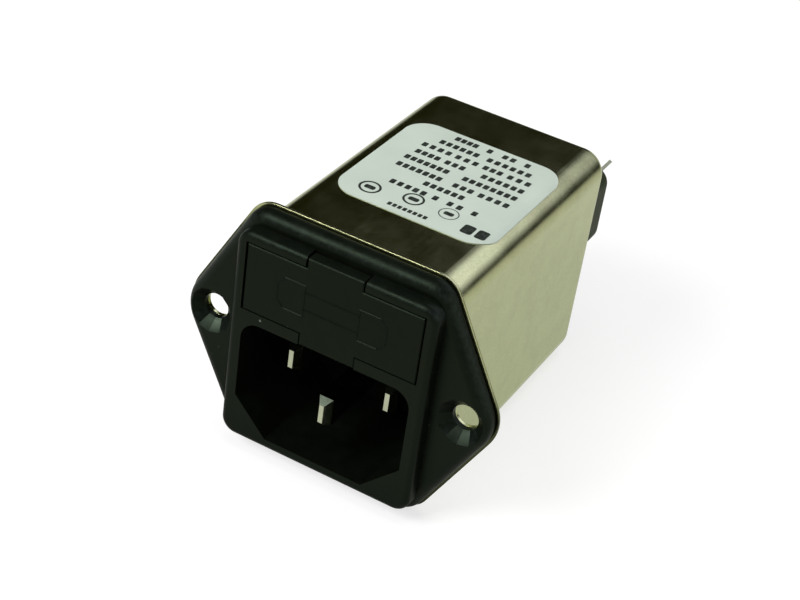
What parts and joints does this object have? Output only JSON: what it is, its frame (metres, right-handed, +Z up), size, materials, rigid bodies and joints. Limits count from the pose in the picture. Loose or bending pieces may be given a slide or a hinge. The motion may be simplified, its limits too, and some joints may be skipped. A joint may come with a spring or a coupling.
{
  "type": "emi line filter",
  "caption": "Panel-mounted power inlet filter: moulded appliance inlet with pull-out fuse drawer on a drawn metal can, quick-connect tabs at the back.",
  "frame": {"origin": "midway between the two panel screw holes, on the rear face of the metal flange, where it meets the panel", "axes": "+X to the right seen from the front, +Y back along the can towards the rear tabs, +Z up; the inlet and the fuse drawer face -Y"},
  "size_m": [0.0442, 0.0616, 0.035],
  "materials": {
    "moulding": "satin",
    "can_metal": "satin nickel",
    "pin_metal": "bright nickel",
    "spring_brass": "plain",
    "label_paper": "satin",
    "board": "matt",
    "ferrite": "matt",
    "copper_wire": "enamelled",
    "film_capacitor": "satin",
    "ceramic_body": "satin",
    "fuse_glass": "clear",
    "tinned_wire": "tinned"
  },
  "bodies": {
    "filter": {"front_moulding": "moulding", "filter_can": "can_metal", "terminal_base": "moulding", "rating_label": "label_paper", "line_pin": "pin_metal", "neutral_pin": "pin_metal", "earth_pin": "pin_metal", "line_in_contact": "spring_brass", "line_out_contact": "spring_brass", "neutral_in_contact": "spring_brass", "neutral_out_contact": "spring_brass", "circuit_board": "board", "choke_core": "ferrite", "choke_line_winding": "copper_wire", "choke_neutral_winding": "copper_wire", "x_capacitor": "film_capacitor", "line_y_capacitor": "ceramic_body", "neutral_y_capacitor": "ceramic_body", "bleed_resistor": "ceramic_body", "line_terminal": "pin_metal", "earth_terminal": "pin_metal", "neutral_terminal": "pin_metal", "line_link_wire": "tinned_wire", "earth_link_wire": "tinned_wire", "neutral_link_wire": "tinned_wire"},
    "drawer": {"fuse_drawer": "moulding", "line_fuse_tube": "fuse_glass", "neutral_fuse_tube": "fuse_glass", "line_fuse_left_cap": "pin_metal", "line_fuse_right_cap": "pin_metal", "neutral_fuse_left_cap": "pin_metal", "neutral_fuse_right_cap": "pin_metal", "line_fuse_wire": "tinned_wire", "neutral_fuse_wire": "tinned_wire"}
  },
  "joints": [
    {"name": "drawer_slide", "type": "slide", "parent": "filter", "child": "drawer", "axis": [0, -1, 0], "range_m": [0, 0.018]}
  ]
}
